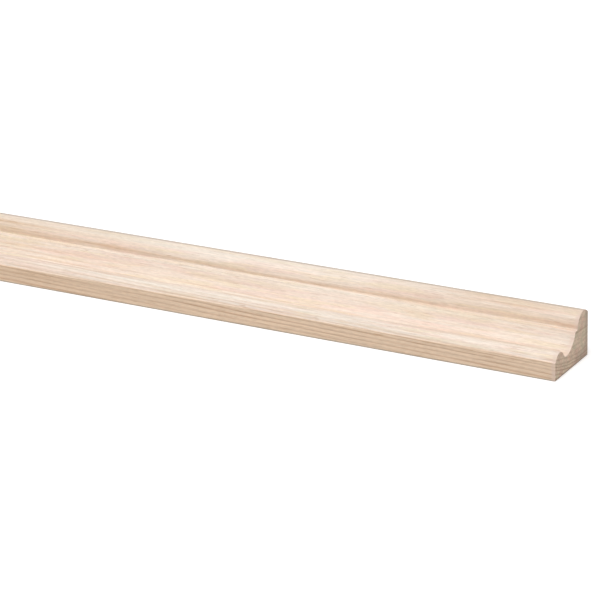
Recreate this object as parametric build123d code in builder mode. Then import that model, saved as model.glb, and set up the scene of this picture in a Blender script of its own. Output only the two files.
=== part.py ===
"""A length of unfinished pine moulding, milled from one piece of softwood.

The stick lies flat on its back-to-front width. Millimetres throughout.
+X runs along the length, -Y is the front with the rounded nose, +Z is up.
The origin is the middle of the bottom face.
"""

import math
import os

from build123d import *

# Outer sizes of the milled stick
stick_length = 2400.0
stick_depth = 27.0
stick_height = 17.6

# Nose: the low round along the front. It stands back a little from the front face,
# which stops at a thin step below it, measured down from the top of the nose
nose_height = 9.3
nose_radius = 3.5
nose_setback = 0.3
nose_step_drop = 2.6

# Groove behind the nose, measured down from the top of the nose
groove_depth = 3.4
groove_radius = 3.2

# Cove that climbs from the groove to the ledge
cove_radius = 10.8

# Ledge at the foot of the bead, measured down from the top of the stick
ledge_drop = 5.45
ledge_width = 1.8

# Bead: the full round along the back, cut off at its shoulder by the back face
bead_radius = 4.9
bead_shoulder = 1.65

# Small round that the plane leaves on the two bottom corners
corner_ease = 0.3


def from_two_circles(centre_a, reach_a, centre_b, reach_b):
    """The upper left point that lies reach_a from centre_a and reach_b from centre_b."""
    span = (centre_b - centre_a).length
    along = (reach_a**2 - reach_b**2 + span**2) / (2 * span)
    aside = math.sqrt(reach_a**2 - along**2)
    direction = (centre_b - centre_a) / span
    return centre_a + direction * along + Vector(-direction.Y, direction.X) * aside


def towards(start, target, distance):
    """The point at a distance from start on the line to target."""
    return start + (target - start).normalized() * distance


def middle_of_arc(centre, radius, first, last):
    """The point halfway round the shorter arc from first to last."""
    return towards(centre, (first + last) / 2, radius)


# The section is drawn in depth and height: x from the front face, y from the bottom
front_height = nose_height - nose_step_drop
front_top = Vector(0, front_height)
nose_centre = Vector(nose_setback + nose_radius, nose_height - nose_radius)
nose_start = Vector(
    nose_centre.X - math.sqrt(nose_radius**2 - (front_height - nose_centre.Y) ** 2),
    front_height,
)
nose_crown = Vector(nose_centre.X, nose_height)

# The groove's arc touches the nose from outside and goes on into the cove
groove_centre_height = nose_height - groove_depth + groove_radius
groove_reach = nose_radius + groove_radius
groove_centre = Vector(
    nose_centre.X + math.sqrt(groove_reach**2 - (groove_centre_height - nose_centre.Y) ** 2),
    groove_centre_height,
)
groove_start = towards(nose_centre, groove_centre, nose_radius)

# The bead is placed by the top of the stick and by where it runs out on the back face
back_height = stick_height - bead_shoulder
bead_centre_height = stick_height - bead_radius
bead_centre = Vector(
    stick_depth - math.sqrt(bead_radius**2 - (back_height - bead_centre_height) ** 2),
    bead_centre_height,
)
ledge_height = stick_height - ledge_drop
bead_start = Vector(
    bead_centre.X - math.sqrt(bead_radius**2 - (ledge_height - bead_centre.Y) ** 2),
    ledge_height,
)
bead_crown = Vector(bead_centre.X, stick_height)
bead_end = Vector(stick_depth, back_height)

# The cove's arc ends at the front of the ledge and runs smoothly out of the groove
ledge_start = bead_start - Vector(ledge_width, 0)
cove_centre = from_two_circles(
    groove_centre, cove_radius - groove_radius, ledge_start, cove_radius
)
cove_start = towards(cove_centre, groove_centre, cove_radius)
groove_middle = middle_of_arc(groove_centre, groove_radius, groove_start, cove_start)
cove_middle = middle_of_arc(cove_centre, cove_radius, cove_start, ledge_start)

front_foot = Vector(0, 0)
back_foot = Vector(stick_depth, 0)

# The plane of the near end, with its x from front to back and its y upward
end_plane = Plane(
    origin=(-stick_length / 2, -stick_depth / 2, 0),
    x_dir=(0, 1, 0),
    z_dir=(1, 0, 0),
)

with BuildPart() as moulding:
    with BuildSketch(end_plane):
        with BuildLine():
            Line(front_foot, front_top)
            Line(front_top, nose_start)
            ThreePointArc(nose_start, nose_crown, groove_start)
            ThreePointArc(groove_start, groove_middle, cove_start)
            ThreePointArc(cove_start, cove_middle, ledge_start)
            Line(ledge_start, bead_start)
            ThreePointArc(bead_start, bead_crown, bead_end)
            Line(bead_end, back_foot)
            Line(back_foot, front_foot)
        make_face()
    extrude(amount=stick_length)
    long_edges = moulding.edges().filter_by(Axis.X)
    fillet(long_edges.group_by(Axis.Z)[0], radius=corner_ease)

moulding.part.label = "moulding"

os.makedirs("parts", exist_ok=True)
export_step(moulding.part, "parts/moulding.step")
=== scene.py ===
"""Looks of the pine moulding: its milled section with grain relief, and unfinished pine.

The scene is in metres, in the frame of the solid: +X along the length, -Y the front, +Z up.
Sizes of the stick and of its wood are in millimetres, which MM turns into metres.
"""

import math

import bpy
import numpy as np
from mathutils import Matrix, Vector
from mathutils.geometry import delaunay_2d_cdt


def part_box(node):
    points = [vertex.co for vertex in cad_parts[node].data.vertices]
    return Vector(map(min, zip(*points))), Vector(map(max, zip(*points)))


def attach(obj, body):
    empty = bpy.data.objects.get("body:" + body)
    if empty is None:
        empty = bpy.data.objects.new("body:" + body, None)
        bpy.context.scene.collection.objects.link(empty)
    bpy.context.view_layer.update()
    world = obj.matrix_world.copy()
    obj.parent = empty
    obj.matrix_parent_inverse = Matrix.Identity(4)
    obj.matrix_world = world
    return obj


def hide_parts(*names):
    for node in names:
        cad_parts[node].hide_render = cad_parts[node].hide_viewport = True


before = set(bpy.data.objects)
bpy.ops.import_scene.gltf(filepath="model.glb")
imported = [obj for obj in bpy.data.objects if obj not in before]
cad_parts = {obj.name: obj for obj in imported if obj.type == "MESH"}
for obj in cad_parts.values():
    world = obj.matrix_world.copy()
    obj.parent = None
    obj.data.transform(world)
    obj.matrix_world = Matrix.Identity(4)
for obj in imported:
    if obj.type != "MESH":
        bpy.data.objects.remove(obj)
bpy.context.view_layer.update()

MM = 0.001
SEED = 27
rng = np.random.default_rng(SEED)

# Sizes of the stick in millimetres, from the frame
LENGTH, DEPTH, HEIGHT = [(high - low) / MM for low, high in zip(*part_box("moulding"))]

# The section's own sizes in millimetres, as in the solid
NOSE_HEIGHT = 9.3
NOSE_RADIUS = 3.5
NOSE_SETBACK = 0.3
NOSE_STEP_DROP = 2.6
GROOVE_DEPTH = 3.4
GROOVE_RADIUS = 3.2
COVE_RADIUS = 10.8
LEDGE_DROP = 5.45
LEDGE_WIDTH = 1.8
BEAD_RADIUS = 4.9
BEAD_SHOULDER = 1.65

# How far each outer arris is eased, in millimetres along both of its sides. A square one
# is eased by over 1.42 times END_EASE, because the ends' rim is drawn in by END_EASE, and
# would cross itself at a tighter round
FOOT_EASE = 0.3
STEP_EASE = 0.25
LEDGE_EASE = 0.15
BACK_EASE = 0.25
END_EASE = 0.15

# Where from one side of an eased arris to the other its points lie, and within how many
# ease lengths of the corner the outline's own points make way for them
EASE_SHARES = (0.0, 0.25, 0.5, 0.75, 1.0)
EASE_CLEAR = 1.2

# Spacing of the skin in millimetres: round the section and along the length
ROUND_STEP = 0.33
FLAT_STEP = 0.5
FIRST_STEP = 0.3
LONGEST_STEP = 8.0
STEP_GROWTH = 1.08

# The net on the ends: its spacing in millimetres and, in shares of that, how far its
# points are moved at random and how far they stay off the rim
CAP_STEP = 0.3
CAP_SHIFT = 0.3
CAP_GAP = 0.6

# Growth rings: where the pith lies off the near end, and how it drifts away along
# the stick, in millimetres from the front foot and the bottom
PITH_BACK = 24.0
PITH_UP = 73.0
PITH_RISE = 0.010
PITH_SWING = 30.0
PITH_SWING_LENGTH = 830.0

# Widths in millimetres of the rings that the near end cuts through, outward from a radius
# of SEEN_FROM
SEEN_FROM = 52.3
SEEN_WIDTHS = (
    1.9, 1.9, 2.1, 2.1, 2.2, 1.2, 1.2, 1.6, 1.6, 1.5, 1.6, 0.9, 1.2, 1.5, 1.4, 1.5, 1.2, 1.7,
)

# The rings inside and outside those: how many there are, their mean width in millimetres,
# and the least and the greatest share of it
INNER_RINGS = 18
INNER_WIDTH = 2.0
INNER_SHARES = (0.8, 1.2)
OUTER_RINGS = 70
OUTER_WIDTH = 1.42
OUTER_SHARES = (0.75, 1.25)

# How far the rings bend off their circles, in millimetres: in long waves and in short ones
LONG_BEND = 0.18
SHORT_BEND = 0.10

# Where in a ring, from 0 to 1, late wood begins in the relief and in the colour, and
# where it ends in both
LATE_RELIEF_RISE = (0.45, 0.86)
LATE_COLOUR_RISE = (0.40, 0.88)
LATE_FALL = (0.93, 1.0)

# How dark the late wood of the rings is: radius in millimetres, then strength
LATE_STRENGTH = (
    (20.0, 0.6), (50.0, 0.45), (57.0, 0.25), (60.5, 0.15), (61.4, 0.8), (62.4, 0.85),
    (63.2, 0.35), (68.4, 0.3), (69.4, 0.9), (71.0, 1.0),
)

# Painted shade on the front face, a darker and yellower copy of the wood on the low front:
# its height over the front foot, how the boundary falls to the back, and how soft it is
FRONT_SHADE_HEIGHT = 6.75
FRONT_SHADE_FALL = 0.35
FRONT_SHADE_SOFT = 0.3

# Painted shade at the foot, a darker grey: how far off it is gone and how far off it is
# full, in millimetres, on the long faces and on the ends
FOOT_SHADE_LONG = (0.55, 0.15)
FOOT_SHADE_END = (0.7, 0.1)

# Painted shade at the low back of the ends, a darker grey: the same two distances from the
# back foot, where each millimetre of height counts for the rise factor below, or from the
# back edge, where each millimetre counts for the edge factor below
BACK_SHADE = (16.0, 5.0)
BACK_SHADE_RISE = 2.5
BACK_SHADE_EDGE = 5.0
BACK_SHADE_STRENGTH = 0.45

# Painted shade in a thin grey band behind the crown of the bead: the depths at which it
# begins, is full, starts to fade and is gone
CROWN_SHADE = (22.7, 23.5, 24.6, 26.0)
CROWN_SHADE_STRENGTH = 0.65

# Torn fibres on the long faces along each end: how far from the end they fade out and
# how far they are full, in millimetres
TORN_REACH = (2.1, 0.6)

# Darker streaks that show at the near end, the three along the nose's crown painted shade:
# distance from the end, depth and height of the middle, then half the length and half the
# thickness, in millimetres, and strength
SEEN_TAN_AND_SHADE = (
    (238.0, 20.0, 16.3, 55.0, 0.9, 0.9),
    (235.0, 21.0, 17.2, 70.0, 1.6, 0.4),
    (20.0, 22.0, 17.4, 45.0, 1.7, 0.6),
    (24.0, 20.4, 16.5, 30.0, 0.8, 0.7),
    (42.0, 19.9, 16.2, 9.0, 0.5, 0.7),
    (35.0, 19.1, 15.1, 50.0, 0.7, 0.5),
    (5.0, 18.6, 13.4, 50.0, 1.5, 0.7),
    (225.0, 18.6, 13.6, 85.0, 1.1, 0.75),
    (5.0, 17.6, 12.2, 22.0, 0.7, 0.7),
    (18.0, 10.6, 6.2, 48.0, 1.5, 0.6),
    # Painted shade: the dark line along the nose's crown, where it turns away from the light
    (20.0, 4.2, 9.3, 26.0, 0.6, 0.7),
    (40.0, 3.8, 9.3, 30.0, 0.7, 0.35),
    (160.0, 3.8, 9.3, 50.0, 0.6, 0.2),
    (245.0, 19.3, 15.3, 50.0, 0.6, 0.5),
    (215.0, 15.3, 9.6, 55.0, 0.7, 0.5),
    (200.0, 13.6, 8.0, 60.0, 1.3, 0.22),
    (30.0, 15.9, 10.7, 36.0, 0.5, 0.3),
    (85.0, 18.5, 12.9, 55.0, 0.8, 0.6),
    (235.0, 0.0, 4.0, 75.0, 4.0, 0.35),
    (220.0, 0.0, 4.6, 40.0, 0.7, 0.8),
)

# Paler streaks that show at the near end, given in the same way, the first two painted light
SEEN_PALE_AND_LIGHT = (
    # Painted highlight along the bead's crown
    (175.0, 21.0, 17.1, 80.0, 1.5, 0.9),
    # Painted light on the upper cove
    (85.0, 16.5, 11.2, 65.0, 1.2, 0.8),
    (150.0, 2.2, 8.9, 70.0, 0.9, 0.7),
)

# Streaks along the rest of the stick: how many there are in a metre, how far from the
# near end their middles begin, and the ranges of their sizes and strengths
TAN_PER_METRE = 26
PALE_PER_METRE = 14
STREAKS_FROM = 250.0
STREAK_HALF_LENGTHS = (25, 90)
STREAK_HALF_THICKNESSES = (0.5, 1.8)
STREAK_STRENGTHS = (0.35, 0.9)

# A streak is left out where the squared distance from its middle, in half lengths, has
# reached this, because it has faded away there
STREAK_GONE = 6

# How deep early wood lies below late wood on the long faces and on the ends, and how deep
# the saw marks are, in millimetres
SUNK_LONG = 0.03
SUNK_END = 0.07
SAW_MARKS = 0.025

# The saw marks' two waves: the direction across them, as depth and height, how many
# radians each has in a millimetre, and how far ahead the second one is
SAW_ACROSS = (0.94, -0.34)
SAW_WAVES = (7.1, 11.9)
SAW_AHEAD = 1.3

# The turns in degrees at which the eased rim of an end has its rings of points
EASE_TURNS = (90.0, 60.0, 30.0)

# The bake map: the skin lies on it in rows, each with its share of the length, and the
# ends lie beside them, the near one below
MAP_ROWS = 3
MAP_EDGE = 0.014
MAP_WIDE = 0.845
MAP_ENDS = 0.875
MAP_END_SIZE = 0.12
MAP_NEAR_END_UP = 0.02
MAP_FAR_END_UP = 0.52

# Places of the two materials on the stick
LONG_GRAIN = 0
END_GRAIN = 1


# Section

def arc(centre, start, end, step=ROUND_STEP):
    """Points on the shorter arc from start to end, without the last one."""
    first = math.atan2(start[1] - centre[1], start[0] - centre[0])
    last = math.atan2(end[1] - centre[1], end[0] - centre[0])
    turn = (last - first + math.pi) % (2 * math.pi) - math.pi
    radius = math.dist(centre, start)
    count = max(2, math.ceil(abs(turn) * radius / step))
    angles = [first + turn * i / count for i in range(count)]
    return [(centre[0] + radius * math.cos(a), centre[1] + radius * math.sin(a)) for a in angles]


def line(start, end, step=FLAT_STEP):
    """Points on the line from start to end, without the last one."""
    count = max(1, math.ceil(math.dist(start, end) / step))
    return [
        (start[0] + (end[0] - start[0]) * i / count, start[1] + (end[1] - start[1]) * i / count)
        for i in range(count)
    ]


def circle_centre(a, reach_a, b, reach_b):
    """The upper left point that lies reach_a from a and reach_b from b."""
    span = (b - a).length
    along = (reach_a ** 2 - reach_b ** 2 + span ** 2) / (2 * span)
    aside = math.sqrt(reach_a ** 2 - along ** 2)
    way = (b - a) / span
    return a + way * along + Vector((-way.y, way.x)) * aside


def ease(points, corner, length):
    """Replaces one corner of a closed outline by a small round, length long on each side."""
    at = min(range(len(points)), key=lambda i: math.dist(points[i], corner))
    points = points[at + 1:] + points[:at + 1]
    tip = Vector(points.pop())
    while math.dist(points[-1], tip) < length * EASE_CLEAR:
        points.pop()
    while math.dist(points[0], tip) < length * EASE_CLEAR:
        points.pop(0)
    before = tip + (Vector(points[-1]) - tip).normalized() * length
    after = tip + (Vector(points[0]) - tip).normalized() * length
    bend = []
    for t in EASE_SHARES:
        bend.append(tuple(before * (1 - t) ** 2 + tip * 2 * t * (1 - t) + after * t ** 2))
    return points + bend


def section():
    """The closed outline in millimetres, from the front foot up and over to the back foot."""
    front_top = (0.0, NOSE_HEIGHT - NOSE_STEP_DROP)
    nose = Vector((NOSE_SETBACK + NOSE_RADIUS, NOSE_HEIGHT - NOSE_RADIUS))
    nose_start = (
        nose.x - math.sqrt(NOSE_RADIUS ** 2 - (front_top[1] - nose.y) ** 2),
        front_top[1],
    )
    nose_crown = (nose.x, NOSE_HEIGHT)
    groove_up = NOSE_HEIGHT - GROOVE_DEPTH + GROOVE_RADIUS
    reach = NOSE_RADIUS + GROOVE_RADIUS
    groove = Vector((nose.x + math.sqrt(reach ** 2 - (groove_up - nose.y) ** 2), groove_up))
    groove_start = nose + (groove - nose).normalized() * NOSE_RADIUS
    back_up = HEIGHT - BEAD_SHOULDER
    bead_up = HEIGHT - BEAD_RADIUS
    bead = Vector((DEPTH - math.sqrt(BEAD_RADIUS ** 2 - (back_up - bead_up) ** 2), bead_up))
    ledge_up = HEIGHT - LEDGE_DROP
    bead_start = Vector(
        (bead.x - math.sqrt(BEAD_RADIUS ** 2 - (ledge_up - bead.y) ** 2), ledge_up)
    )
    ledge_start = bead_start - Vector((LEDGE_WIDTH, 0))
    cove = circle_centre(groove, COVE_RADIUS - GROOVE_RADIUS, ledge_start, COVE_RADIUS)
    cove_start = cove + (groove - cove).normalized() * COVE_RADIUS
    bead_crown = (bead.x, HEIGHT)
    bead_end = (DEPTH, back_up)
    foot_front, foot_back = (0.0, 0.0), (DEPTH, 0.0)
    outline = (
        line(foot_front, front_top, ROUND_STEP)
        + line(front_top, nose_start)
        + arc(nose, nose_start, nose_crown)
        + arc(nose, nose_crown, groove_start)
        + arc(groove, groove_start, cove_start)
        + arc(cove, cove_start, ledge_start)
        + line(ledge_start, bead_start, ROUND_STEP)
        + arc(bead, bead_start, bead_crown)
        + arc(bead, bead_crown, bead_end)
        + line(bead_end, foot_back)
        + line(foot_back, foot_front)
    )
    eases = (
        (front_top, STEP_EASE), (ledge_start, LEDGE_EASE), (bead_end, BACK_EASE),
        (foot_back, FOOT_EASE), (foot_front, FOOT_EASE),
    )
    for corner, length in eases:
        outline = ease(outline, corner, length)
    return np.array(outline)


def outward(outline):
    """Unit normals of a closed outline that runs clockwise."""
    ahead = np.roll(outline, -1, axis=0) - outline
    behind = outline - np.roll(outline, 1, axis=0)
    way = ahead / np.linalg.norm(ahead, axis=1)[:, None]
    way += behind / np.linalg.norm(behind, axis=1)[:, None]
    way /= np.linalg.norm(way, axis=1)[:, None]
    return np.column_stack((-way[:, 1], way[:, 0]))


def within(p, rim, margin):
    """True if p lies inside the closed rim and at least margin from it."""
    a, b = rim, np.roll(rim, -1, axis=0)
    crossing = (a[:, 1] > p[1]) != (b[:, 1] > p[1])
    with np.errstate(divide="ignore", invalid="ignore"):
        at = a[:, 0] + (p[1] - a[:, 1]) / (b[:, 1] - a[:, 1]) * (b[:, 0] - a[:, 0])
    if np.count_nonzero(crossing & (p[0] < at)) % 2 == 0:
        return False
    way = b - a
    t = np.clip(((p - a) * way).sum(axis=1) / (way ** 2).sum(axis=1), 0, 1)
    return np.linalg.norm(a + way * t[:, None] - p, axis=1).min() > margin


# Growth rings and streaks

def smooth(edges, value):
    """0 up to the first edge and 1 from the second on, smooth between, in either direction."""
    t = np.clip((value - edges[0]) / (edges[1] - edges[0]), 0, 1)
    return t * t * (3 - 2 * t)


def waves(count, longest, shortest):
    """A seeded sum of sines in three directions, each direction's wavelengths in millimetres."""
    spans = np.exp(rng.uniform(np.log(shortest), np.log(longest), (count, 3)))
    turns = 2 * math.pi / spans * rng.choice((-1, 1), (count, 3))
    starts = rng.uniform(0, 2 * math.pi, count)

    def field(x, y, z):
        total = 0
        for turn, start in zip(turns, starts):
            total = total + np.sin(x * turn[0] + y * turn[1] + z * turn[2] + start)
        return total / math.sqrt(count)
    return field


def ring_edges():
    """Radii of the ring boundaries in millimetres, with uneven widths."""
    seen = SEEN_FROM + np.cumsum((0,) + SEEN_WIDTHS)
    inner_widths = INNER_WIDTH * rng.uniform(*INNER_SHARES, INNER_RINGS)
    outer_widths = OUTER_WIDTH * rng.uniform(*OUTER_SHARES, OUTER_RINGS)
    inner = SEEN_FROM - np.cumsum(inner_widths)[::-1]
    outer = seen[-1] + np.cumsum(outer_widths)
    return np.concatenate((inner, seen, outer))


def more_streaks(per_metre):
    """Streaks along the rest of the stick, like those at the near end, in seeded places."""
    count = round(per_metre * (LENGTH - STREAKS_FROM) * MM)
    return tuple((
        rng.uniform(STREAKS_FROM, LENGTH),
        rng.uniform(0, DEPTH),
        rng.uniform(0, HEIGHT),
        rng.uniform(*STREAK_HALF_LENGTHS),
        rng.uniform(*STREAK_HALF_THICKNESSES),
        rng.uniform(*STREAK_STRENGTHS),
    ) for _ in range(count))


RING_EDGES = ring_edges()
long_waves = waves(count=5, longest=(900, 60, 60), shortest=(260, 24, 24))
short_waves = waves(count=6, longest=(150, 16, 16), shortest=(50, 6, 6))
TAN_STREAKS_AND_SHADE = SEEN_TAN_AND_SHADE + more_streaks(TAN_PER_METRE)
PALE_STREAKS_AND_LIGHT = SEEN_PALE_AND_LIGHT + more_streaks(PALE_PER_METRE)


def in_streaks(streaks, x, y, z):
    """0 to 1, how far places lie in a streak."""
    total = np.zeros_like(y)
    for along, depth, height, half_length, half_thick, strength in streaks:
        away = ((x - along) / half_length) ** 2
        if away < STREAK_GONE:
            away = away + ((y - depth) ** 2 + (z - height) ** 2) / half_thick ** 2
            total = np.maximum(total, strength * np.exp(-away))
    return total


def painted_shade(x, y, z):
    """0 to 1, how strong the painted shade, a darker grey, is at the feet, ends' low back and crown.
    """
    # On the ends: painted shade along the foot and at the low back
    if x in (0.0, LENGTH):
        behind = DEPTH - y
        from_foot = np.hypot(behind, BACK_SHADE_RISE * z)
        back = smooth(BACK_SHADE, np.minimum(from_foot, BACK_SHADE_EDGE * behind))
        return np.maximum(smooth(FOOT_SHADE_END, z), BACK_SHADE_STRENGTH * back)
    # On the long faces: painted shade along both feet and behind the bead's crown
    foot = smooth(FOOT_SHADE_LONG, np.hypot(np.minimum(y, DEPTH - y), z))
    rise, full, fall, end = CROWN_SHADE
    crown = smooth((rise, full), y) * smooth((end, fall), y) * (z > HEIGHT / 2)
    return np.maximum(foot, CROWN_SHADE_STRENGTH * crown)


def growth(x, y, z):
    """What the wood is like at some places, by name.

    x is in millimetres from the near end, y from the front face, z from the bottom.
    rings counts them out from the pith, around is the way round it in millimetres,
    late is how dark the late wood is, outer is 1 on the low front, where a darker and
    yellower copy of the wood paints that face's shade, tan is 1 in the darker streaks,
    some of them painted shade along the nose's crown, pale is 1 in the paler ones, some
    of them painted light on the bead's crown and the upper cove, grey is 1 in the painted
    shade, a darker grey, at the feet, behind the bead's crown and at the ends' low back,
    and torn is 1 in the torn fibres along the ends.
    """
    back = PITH_BACK + PITH_SWING * (1 - np.exp(-x / PITH_SWING_LENGTH))
    up = PITH_UP + PITH_RISE * x
    radius = np.hypot(y - back, up - z)
    radius = radius + LONG_BEND * long_waves(x, y, z) + SHORT_BEND * short_waves(x, y, z)
    # How far below the edge of the front face's painted shade a place lies
    low = FRONT_SHADE_HEIGHT - FRONT_SHADE_FALL * y - z
    return {
        "rings": np.interp(radius, RING_EDGES, np.arange(len(RING_EDGES))),
        "around": np.arctan2(y - back, up - z) * radius,
        "late": np.interp(radius, *zip(*LATE_STRENGTH)),
        "outer": smooth((-FRONT_SHADE_SOFT, FRONT_SHADE_SOFT), low),
        "tan": in_streaks(TAN_STREAKS_AND_SHADE, x, y, z),
        "pale": in_streaks(PALE_STREAKS_AND_LIGHT, x, y, z),
        "grey": painted_shade(x, y, z),
        "torn": smooth(TORN_REACH, np.full_like(y, min(x, LENGTH - x))),
    }


def latewood(rings):
    """0 in the pale early wood of a ring, 1 in the dark late wood at its outer side."""
    part = rings % 1
    return smooth(LATE_RELIEF_RISE, part) * (1 - smooth(LATE_FALL, part))


# Mesh

def stations():
    """Distances from the near end in millimetres, close together at both ends."""
    half = [END_EASE]
    step = FIRST_STEP
    while step < LONGEST_STEP:
        half.append(half[-1] + step)
        step *= STEP_GROWTH
    half = np.array(half)
    between = LENGTH - 2 * half[-1]
    middle = np.linspace(half[-1], LENGTH - half[-1], round(between / LONGEST_STEP))
    return np.concatenate((half, middle[1:-1], (LENGTH - half)[::-1]))


def skin_rings():
    """Each ring of the skin: its distance from the near end and how far it is drawn in."""
    turns = np.radians(EASE_TURNS)
    near = [(END_EASE * (1 - math.sin(t)), END_EASE * (1 - math.cos(t))) for t in turns]
    far = [(LENGTH - x, inset) for x, inset in reversed(near)]
    return near + [(x, 0.0) for x in stations()] + far


def skin_points(outline, rings_of_skin):
    """The skin's points, ring by ring, and for each ring what the wood is like there."""
    normals = outward(outline)
    points, wood = [], []
    for x, inset in rings_of_skin:
        flat = outline - normals * inset
        here = growth(x, flat[:, 0], flat[:, 1])
        sink = SUNK_LONG * (1 - latewood(here["rings"])) * (1 - inset / END_EASE)
        flat = flat - normals * sink[:, None]
        points.append(np.column_stack((np.full(len(outline), x), flat)))
        wood.append(here)
    return np.concatenate(points), wood


def skin_faces(outline, rings_of_skin):
    """The faces between the skin's rings, and the places of their corners on the bake map."""
    count = len(outline)
    sides = np.linalg.norm(np.roll(outline, -1, axis=0) - outline, axis=1)
    round_lengths = np.concatenate(([0], np.cumsum(sides)))
    round_share = round_lengths / round_lengths[-1]
    faces, maps = [], []
    for row in range(len(rings_of_skin) - 1):
        a, b = row * count, (row + 1) * count
        share_a, share_b = rings_of_skin[row][0] / LENGTH, rings_of_skin[row + 1][0] / LENGTH
        map_row = int((share_a + share_b) / 2 * MAP_ROWS)
        u_a, u_b = (MAP_EDGE + MAP_WIDE * (s * MAP_ROWS - map_row) for s in (share_a, share_b))
        v = (map_row + MAP_EDGE + (1 - 2 * MAP_EDGE) * round_share) / MAP_ROWS
        for i in range(count):
            j = (i + 1) % count
            faces.append((a + i, a + j, b + j, b + i))
            maps.append(((u_a, v[i]), (u_a, v[i + 1]), (u_b, v[i + 1]), (u_b, v[i])))
    return faces, maps


def saw_marks(y, z):
    """Fine straight scores of the saw on an end, from 0 to 1."""
    across = y * SAW_ACROSS[0] + z * SAW_ACROSS[1]
    first = np.sin(across * SAW_WAVES[0])
    second = np.sin(across * SAW_WAVES[1] + SAW_AHEAD)
    return 0.5 + 0.25 * first + 0.25 * second


def net(rim):
    """A fine net of triangles that fills a closed rim.

    Gives its points, for each of them its number on the rim or None, and its triangles.
    """
    count = len(rim)
    low, high = rim.min(axis=0), rim.max(axis=0)
    grid = np.stack(np.meshgrid(
        np.arange(low[0], high[0], CAP_STEP), np.arange(low[1], high[1], CAP_STEP),
    ), axis=-1).reshape(-1, 2)
    grid = grid + rng.uniform(-CAP_SHIFT, CAP_SHIFT, grid.shape) * CAP_STEP
    inside = [p for p in grid if within(p, rim, CAP_GAP * CAP_STEP)]
    seeds = [Vector(p) for p in rim] + [Vector(p) for p in inside]
    edges = [(i, (i + 1) % count) for i in range(count)]
    only_inside, same_within = 1, 1e-6
    flat, _, triangles, origin, _, _ = delaunay_2d_cdt(seeds, edges, [], only_inside, same_within)
    on_rim = [o[0] if o and o[0] < count else None for o in origin]
    return np.array(flat), on_rim, triangles


def end_face(rim, first, start, x_face):
    """One end of the stick: its own points, their wood, its faces and their bake map.

    The rim's points have the numbers from first on, and the end's own get those from
    start on.
    """
    flat, on_rim, triangles = net(rim)
    near = x_face == 0.0
    face = growth(x_face, flat[:, 0], flat[:, 1])
    depth = SUNK_END * (1 - latewood(face["rings"])) + SAW_MARKS * saw_marks(*flat.T)
    x_all = depth if near else LENGTH - depth
    own = [k for k, place in enumerate(on_rim) if place is None]
    index = {k: first + place for k, place in enumerate(on_rim) if place is not None}
    index.update({k: start + n for n, k in enumerate(own)})
    map_up = MAP_NEAR_END_UP if near else MAP_FAR_END_UP
    map_scale = MAP_END_SIZE / DEPTH
    faces, maps = [], []
    for triangle in triangles:
        corners = list(triangle)
        p, q, r = (flat[k] for k in corners)
        if (q[0] - p[0]) * (r[1] - p[1]) - (q[1] - p[1]) * (r[0] - p[0]) < 0:
            corners.reverse()
        if not near:
            corners.reverse()
        faces.append(tuple(index[k] for k in corners))
        maps.append([
            (MAP_ENDS + flat[k][0] * map_scale, map_up + flat[k][1] * map_scale)
            for k in corners
        ])
    own_points = np.column_stack((x_all[own], flat[own]))
    own_wood = {name: values[own] for name, values in face.items()}
    return own_points, own_wood, faces, maps


def build_mesh():
    """The stick as one closed mesh, with what its wood is like and its bake map."""
    outline = section()
    count = len(outline)
    rings_of_skin = skin_rings()
    points, wood = skin_points(outline, rings_of_skin)
    faces, maps = skin_faces(outline, rings_of_skin)
    materials = [LONG_GRAIN] * len(faces)
    last_ring = (len(rings_of_skin) - 1) * count
    for x_face, first in ((0.0, 0), (LENGTH, last_ring)):
        rim = points[first:first + count, 1:]
        own_points, own_wood, own_faces, own_maps = end_face(rim, first, len(points), x_face)
        points = np.concatenate((points, own_points))
        wood.append(own_wood)
        faces += own_faces
        maps += own_maps
        materials += [END_GRAIN] * len(own_faces)

    placed = np.column_stack((
        LENGTH / 2 - points[:, 0], points[:, 1] - DEPTH / 2, points[:, 2],
    )) * MM
    mesh = bpy.data.meshes.new("pine_moulding")
    mesh.from_pydata(placed.tolist(), [], faces)
    mesh.polygons.foreach_set("material_index", np.array(materials, dtype=np.int32))
    mesh.polygons.foreach_set("use_smooth", np.ones(len(faces), dtype=bool))
    bake_map = mesh.uv_layers.new(name="OFBake")
    bake_map.data.foreach_set("uv", np.array([c for f in maps for uv in f for c in uv]))
    for name in wood[0]:
        values = np.concatenate([part[name] for part in wood])
        attribute = mesh.attributes.new(name, "FLOAT", "POINT")
        attribute.data.foreach_set("value", values.astype(np.float32))
    mesh.validate()
    mesh.update()
    return mesh


# Materials

def srgb(red, green, blue):
    """Linear colour from the 0 to 255 values of a screen."""
    def linear(value):
        part = value / 255
        return part / 12.92 if part <= 0.04045 else ((part + 0.055) / 1.055) ** 2.4
    return (linear(red), linear(green), linear(blue), 1.0)


EARLY = srgb(244, 229, 215)
LATE = srgb(218, 186, 158)
# Darker, yellower copies of the wood that paint the front face's shade
FRONT_SHADE_EARLY = srgb(241, 215, 189)
FRONT_SHADE_LATE = srgb(193, 151, 118)
ROSY = srgb(242, 217, 203)
YELLOW = srgb(240, 223, 198)
PALE = srgb(249, 240, 227)
TAN = srgb(217, 184, 152)
RESIN = srgb(190, 147, 108)
# Colour of the painted shade at the feet and behind the bead's crown
SHADE_GREY = srgb(176, 162, 146)
TORN = srgb(226, 202, 188)
END_EARLY = srgb(230, 206, 184)
END_ROSY = srgb(228, 196, 175)
END_OLIVE = srgb(221, 204, 179)
END_LATE = srgb(190, 160, 136)
# Colour of the painted shade on the ends
END_SHADE_GREY = srgb(152, 138, 126)

# Most of a noise lies between these two values
NOISE_LOW = 0.25
NOISE_HIGH = 0.75

# The least and the greatest strength of one ring's late wood
RING_STRENGTHS = (0.6, 1.0)

# How far the fibres and the cells stand out in the bump, in millimetres
LONG_BUMP = 0.05
END_BUMP = 0.06

# Sockets of a Mix node's colours, which share their names with its other sockets
MIX_A = 6
MIX_B = 7
MIX_RESULT = 2


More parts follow.
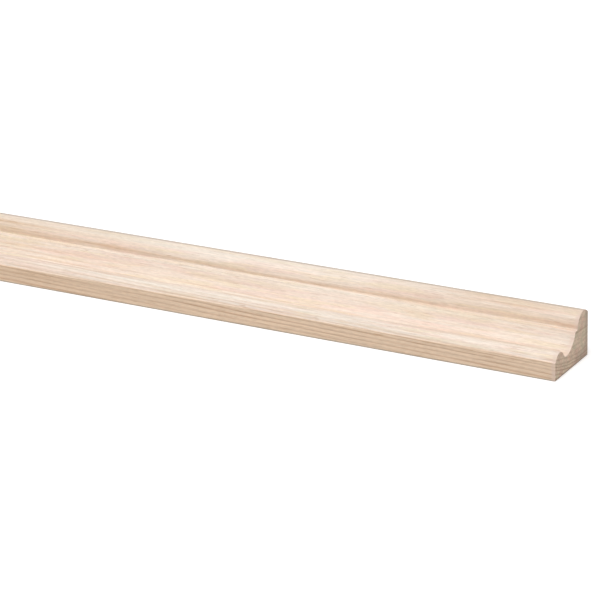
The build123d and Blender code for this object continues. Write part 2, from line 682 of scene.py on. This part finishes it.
class Nodes:
    """Small helper that adds shader nodes and links them."""

    def __init__(self, name):
        self.material = bpy.data.materials.new(name)
        self.material.use_nodes = True
        self.tree = self.material.node_tree
        self.shader = self.tree.nodes["Principled BSDF"]

    def add(self, kind, settings=None, **inputs):
        """A new node. An input's underscores stand for the spaces in its socket's name."""
        node = self.tree.nodes.new(kind)
        for key, value in (settings or {}).items():
            setattr(node, key, value)
        for key, value in inputs.items():
            self.put(node, key.replace("_", " "), value)
        return node

    def put(self, node, socket, value):
        """Links a socket into an input, or sets the input to a constant."""
        place = node.inputs[socket]
        if isinstance(value, bpy.types.NodeSocket):
            self.tree.links.new(value, place)
        else:
            place.default_value = value

    def math(self, operation, a, b=0.0):
        """One step of arithmetic."""
        node = self.add("ShaderNodeMath", {"operation": operation})
        self.put(node, 0, a)
        self.put(node, 1, b)
        return node.outputs[0]

    def span(self, value, low, high, to_low=0.0, to_high=1.0):
        """to_low up to low, to_high from high on, smooth between."""
        node = self.add("ShaderNodeMapRange", {"interpolation_type": "SMOOTHSTEP"})
        for socket, item in enumerate((value, low, high, to_low, to_high)):
            self.put(node, socket, item)
        return node.outputs[0]

    def attribute(self, name):
        """One of the values that growth gives."""
        return self.add("ShaderNodeAttribute", {"attribute_name": name}).outputs["Fac"]

    def noise(self, cell, detail, seed):
        """Noise in object coordinates, with cells of the given millimetres along x, y, z."""
        where = self.add("ShaderNodeTexCoord").outputs["Object"]
        scale = tuple(1 / (c * MM) for c in cell)
        place = self.add("ShaderNodeMapping", Vector=where, Scale=scale, Location=(seed, seed, 0))
        noise = self.add(
            "ShaderNodeTexNoise", Vector=place.outputs[0], Scale=1.0, Detail=detail, Roughness=0.55,
        )
        return noise.outputs["Fac"]

    def blend(self, factor, a, b, mode="MIX"):
        """Colour a, with b over it by the factor."""
        node = self.add("ShaderNodeMix", {"data_type": "RGBA", "blend_type": mode})
        self.put(node, 0, factor)
        self.put(node, MIX_A, a)
        self.put(node, MIX_B, b)
        return node.outputs[MIX_RESULT]

    def shaded(self, colour, value, low, high):
        """The colour, darkened and lightened between two factors by a noise."""
        shade = self.span(value, NOISE_LOW, NOISE_HIGH, low, high)
        grey = self.add("ShaderNodeCombineColor", Red=shade, Green=shade, Blue=shade).outputs[0]
        return self.blend(1.0, colour, grey, "MULTIPLY")

    def ring_pattern(self):
        """Late wood of each ring, with each ring's own strength and soft inner side."""
        rings = self.attribute("rings")
        part = self.math("FRACT", rings)
        rise = self.span(part, *LATE_COLOUR_RISE)
        fall = self.span(part, *LATE_FALL, 1.0, 0.0)
        late = self.math("MULTIPLY", rise, fall)
        number = self.add(
            "ShaderNodeTexWhiteNoise", {"noise_dimensions": "1D"}, W=self.math("FLOOR", rings),
        ).outputs["Value"]
        own = self.math("MULTIPLY", late, self.span(number, 0.0, 1.0, *RING_STRENGTHS))
        return self.math("MULTIPLY", own, self.attribute("late"))


def long_grain():
    """Planed faces along the grain."""
    n = Nodes("pine_long_grain")
    outer = n.attribute("outer")

    # Late wood, whose lines break off and fade along the stick
    long_breaks = n.noise((60, 2.5, 2.5), detail=2.0, seed=3.1)
    short_breaks = n.noise((16, 0.5, 0.5), detail=3.0, seed=5.3)
    broken = n.math(
        "MULTIPLY",
        n.span(long_breaks, 0.3, 0.7, 0.45, 1.0),
        n.span(short_breaks, 0.3, 0.65, 0.5, 1.0),
    )
    late = n.math("MULTIPLY", n.ring_pattern(), broken)

    # Early wood, with rosier and yellower patches
    rosy = n.noise((30, 2.4, 2.4), detail=2.0, seed=7.7)
    yellow = n.noise((26, 2.1, 2.1), detail=2.0, seed=9.4)
    early = n.blend(n.span(rosy, 0.45, 0.65, 0.0, 0.75), EARLY, ROSY)
    early = n.blend(n.span(yellow, 0.48, 0.66, 0.0, 0.75), early, YELLOW)
    # Painted shade: the low front gets darker, yellower copies of the wood
    early = n.blend(outer, early, FRONT_SHADE_EARLY)
    colour = n.blend(late, early, n.blend(outer, LATE, FRONT_SHADE_LATE))

    # Streaks, with uneven edges, some of them painted shade and painted light
    edge = n.span(n.noise((30, 1.2, 1.2), detail=3.0, seed=2.6), 0.3, 0.7, 0.55, 1.0)
    colour = n.blend(n.math("MULTIPLY", n.attribute("pale"), edge), colour, PALE)
    colour = n.blend(n.math("MULTIPLY", n.attribute("tan"), edge), colour, TAN)

    # Shading, from broad bands to the finest fibres and flecks
    bands = n.noise((80, 3.5, 3.5), detail=1.0, seed=12.2)
    fibre = n.noise((14, 0.35, 0.35), detail=4.0, seed=1.9)
    fine = n.noise((7, 0.12, 0.12), detail=2.0, seed=6.1)
    flecks = n.noise((2.2, 0.42, 0.42), detail=1.0, seed=4.9)
    colour = n.shaded(colour, bands, 0.965, 1.03)
    colour = n.shaded(colour, fibre, 0.93, 1.045)
    colour = n.shaded(colour, fine, 0.95, 1.035)
    colour = n.shaded(colour, flecks, 0.94, 1.045)

    # Resin canals, painted shade at feet and crown, and the torn fibres along the ends
    canals = n.noise((6, 0.16, 0.16), detail=0.0, seed=8.8)
    colour = n.blend(n.span(canals, 0.72, 0.8, 0.0, 0.55), colour, RESIN)
    # Painted shade: a darker grey along the feet and in a band behind the bead's crown
    colour = n.blend(n.attribute("grey"), colour, SHADE_GREY)
    fray = n.span(n.noise((2.5, 1.2, 1.2), detail=2.0, seed=3.7), 0.4, 0.64, 0.4, 0.85)
    colour = n.blend(n.math("MULTIPLY", n.attribute("torn"), fray), colour, TORN)

    n.put(n.shader, "Base Color", colour)
    n.put(n.shader, "Roughness", n.span(fibre, NOISE_LOW, NOISE_HIGH, 0.68, 0.56))
    n.shader.inputs["Specular IOR Level"].default_value = 0.3
    height = n.math("ADD", n.math("MULTIPLY", late, 0.6), n.math("ADD", fibre, fine))
    bump = n.add("ShaderNodeBump", Height=height, Strength=0.3, Distance=LONG_BUMP * MM)
    n.put(n.shader, "Normal", bump.outputs[0])
    return n.material


def end_grain():
    """Sawn ends across the grain, with rings, fine rays and open cells."""
    n = Nodes("pine_end_grain")

    # Rings, with rosier and more olive patches in their early wood
    rosy = n.noise((3, 3, 3), detail=1.0, seed=5.9)
    olive = n.noise((3, 3.4, 3.4), detail=1.0, seed=1.3)
    early = n.blend(n.span(rosy, 0.42, 0.62), END_EARLY, END_ROSY)
    early = n.blend(n.span(olive, 0.45, 0.65), early, END_OLIVE)
    colour = n.blend(n.ring_pattern(), early, END_LATE)

    # Rays, which run out from the pith across the rings
    place = n.add("ShaderNodeCombineXYZ", X=n.attribute("around"), Y=n.attribute("rings"))
    rays = n.add("ShaderNodeMapping", Vector=place.outputs[0], Scale=(4.5, 0.5, 1.0))
    rays = n.add("ShaderNodeTexNoise", Vector=rays.outputs[0], Scale=1.0, Detail=2.0)
    rays = rays.outputs["Fac"]

    # Shading, from blotches to single cells
    blotches = n.noise((3, 2.2, 1.6), detail=2.0, seed=2.2)
    torn = n.noise((1, 0.5, 0.5), detail=1.0, seed=7.3)
    cells = n.noise((1, 0.16, 0.16), detail=2.0, seed=4.2)
    colour = n.shaded(colour, rays, 0.91, 1.05)
    colour = n.shaded(colour, blotches, 0.88, 1.08)
    colour = n.shaded(colour, torn, 0.88, 1.08)
    colour = n.shaded(colour, cells, 0.88, 1.07)
    # Painted shade: a darker grey along the foot and at the low back of the end
    colour = n.blend(n.attribute("grey"), colour, END_SHADE_GREY)

    n.put(n.shader, "Base Color", colour)
    n.shader.inputs["Roughness"].default_value = 0.85
    n.shader.inputs["Specular IOR Level"].default_value = 0.2
    height = n.math("ADD", cells, n.math("MULTIPLY", rays, 0.5))
    bump = n.add("ShaderNodeBump", Height=height, Strength=0.5, Distance=END_BUMP * MM)
    n.put(n.shader, "Normal", bump.outputs[0])
    return n.material


# The stick

stick = bpy.data.objects.new("pine_moulding", build_mesh())
bpy.context.scene.collection.objects.link(stick)
stick.data.materials.append(long_grain())
stick.data.materials.append(end_grain())
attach(stick, "root")
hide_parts("moulding")


# Floor, in metres

FLOOR_SIZE = 40.0
FLOOR_GREY = srgb(212, 211, 209)
FLOOR_GLOW = 0.15
WHITE = (1, 1, 1, 1)


def white_where_seen(material, colour, glow):
    """A pale floor that the camera sees as white, with the stick's shadow, and that reflects less."""
    tree = material.node_tree
    shader = tree.nodes["Principled BSDF"]
    path = tree.nodes.new("ShaderNodeLightPath")
    seen = tree.nodes.new("ShaderNodeMath")
    seen.operation = "MAXIMUM"
    tree.links.new(path.outputs["Is Camera Ray"], seen.inputs[0])
    tree.links.new(path.outputs["Is Glossy Ray"], seen.inputs[1])
    mix = tree.nodes.new("ShaderNodeMix")
    mix.data_type = "RGBA"
    tree.links.new(seen.outputs[0], mix.inputs[0])
    mix.inputs[MIX_A].default_value = colour
    mix.inputs[MIX_B].default_value = WHITE
    tree.links.new(mix.outputs[MIX_RESULT], shader.inputs["Base Color"])
    shader.inputs["Roughness"].default_value = 1.0
    shader.inputs["Specular IOR Level"].default_value = 0.0
    shader.inputs["Emission Color"].default_value = WHITE
    strength = tree.nodes.new("ShaderNodeMath")
    strength.operation = "MULTIPLY"
    tree.links.new(seen.outputs[0], strength.inputs[0])
    strength.inputs[1].default_value = glow
    tree.links.new(strength.outputs[0], shader.inputs["Emission Strength"])


def add_floor():
    """The floor under the stick, at height 0."""
    mesh = bpy.data.meshes.new("floor")
    half = FLOOR_SIZE / 2
    corners = [(-half, -half, 0), (half, -half, 0), (half, half, 0), (-half, half, 0)]
    mesh.from_pydata(corners, [], [(0, 1, 2, 3)])
    material = bpy.data.materials.new("floor_white")
    material.use_nodes = True
    white_where_seen(material, FLOOR_GREY, FLOOR_GLOW)
    mesh.materials.append(material)
    floor = bpy.data.objects.new("floor", mesh)
    bpy.context.scene.collection.objects.link(floor)


# Light

WORLD_LEVEL = 0.33
SEEN_WORLD_LEVEL = 1.0

# Sockets of a Mix node's numbers
MIX_NUMBER_A = 2
MIX_NUMBER_B = 3


def add_world():
    """An even white world, which the camera sees brighter than it shines."""
    world = bpy.data.worlds.new("studio")
    bpy.context.scene.world = world
    world.use_nodes = True
    tree = world.node_tree
    background = tree.nodes["Background"]
    path = tree.nodes.new("ShaderNodeLightPath")
    level = tree.nodes.new("ShaderNodeMix")
    level.data_type = "FLOAT"
    level.inputs[MIX_NUMBER_A].default_value = WORLD_LEVEL
    level.inputs[MIX_NUMBER_B].default_value = SEEN_WORLD_LEVEL
    tree.links.new(path.outputs["Is Camera Ray"], level.inputs[0])
    tree.links.new(level.outputs[0], background.inputs["Strength"])
    background.inputs["Color"].default_value = WHITE


def soft_sun(name, azimuth, elevation, level, spread):
    """A wide, even light. Azimuth 0 shines from the front and 90 from the near end."""
    lamp = bpy.data.lights.new(name, "SUN")
    lamp.energy = level * math.pi
    lamp.angle = math.radians(spread)
    lamp_object = bpy.data.objects.new(name, lamp)
    a, e = math.radians(azimuth), math.radians(elevation)
    source = Vector((math.sin(a) * math.cos(e), -math.cos(a) * math.cos(e), math.sin(e)))
    lamp_object.rotation_mode = "QUATERNION"
    lamp_object.rotation_quaternion = source.to_track_quat("Z", "Y")
    bpy.context.scene.collection.objects.link(lamp_object)


add_floor()
add_world()
soft_sun("key", azimuth=12, elevation=66, level=0.68, spread=50)
soft_sun("side_fill", azimuth=70, elevation=20, level=0.10, spread=70)
soft_sun("back_fill", azimuth=195, elevation=14, level=0.15, spread=60)

# The camera: view angles in degrees, lens for a 600 pixel square frame, and the pixel
# and the distance in metres at which the near end's front foot shows
FRAME_PIXELS = 600
SENSOR = 36.0
FOCAL_PIXELS = 2484.0
VIEW_AZIMUTH = 30.47
VIEW_ELEVATION = 20.64
VIEW_ROLL = -1.86
FOOT_PIXEL = (555.0, 381.9)
FOOT_DISTANCE = 0.830


def add_camera():
    """The camera at the photo's angle."""
    a, e, roll = (math.radians(v) for v in (VIEW_AZIMUTH, VIEW_ELEVATION, VIEW_ROLL))
    back = Vector((math.sin(a) * math.cos(e), -math.cos(a) * math.cos(e), math.sin(e)))
    level_right = Vector((math.cos(a), math.sin(a), 0))
    level_up = back.cross(level_right)
    right = level_right * math.cos(roll) + level_up * math.sin(roll)
    up = level_up * math.cos(roll) - level_right * math.sin(roll)
    foot = Vector((LENGTH / 2, -DEPTH / 2, 0)) * MM
    off_right = (FOOT_PIXEL[0] - FRAME_PIXELS / 2) / FOCAL_PIXELS * FOOT_DISTANCE
    off_up = (FRAME_PIXELS / 2 - FOOT_PIXEL[1]) / FOCAL_PIXELS * FOOT_DISTANCE
    place = foot + back * FOOT_DISTANCE - right * off_right - up * off_up
    turned = Matrix((right, up, back)).transposed().to_4x4()
    data = bpy.data.cameras.new("camera")
    data.sensor_width = SENSOR
    data.lens = FOCAL_PIXELS / FRAME_PIXELS * SENSOR
    data.clip_start, data.clip_end = 0.05, 50.0
    camera = bpy.data.objects.new("camera", data)
    camera.matrix_world = Matrix.Translation(place) @ turned
    bpy.context.scene.collection.objects.link(camera)
    bpy.context.scene.camera = camera


add_camera()
bpy.context.scene.view_settings.view_transform = "Standard"
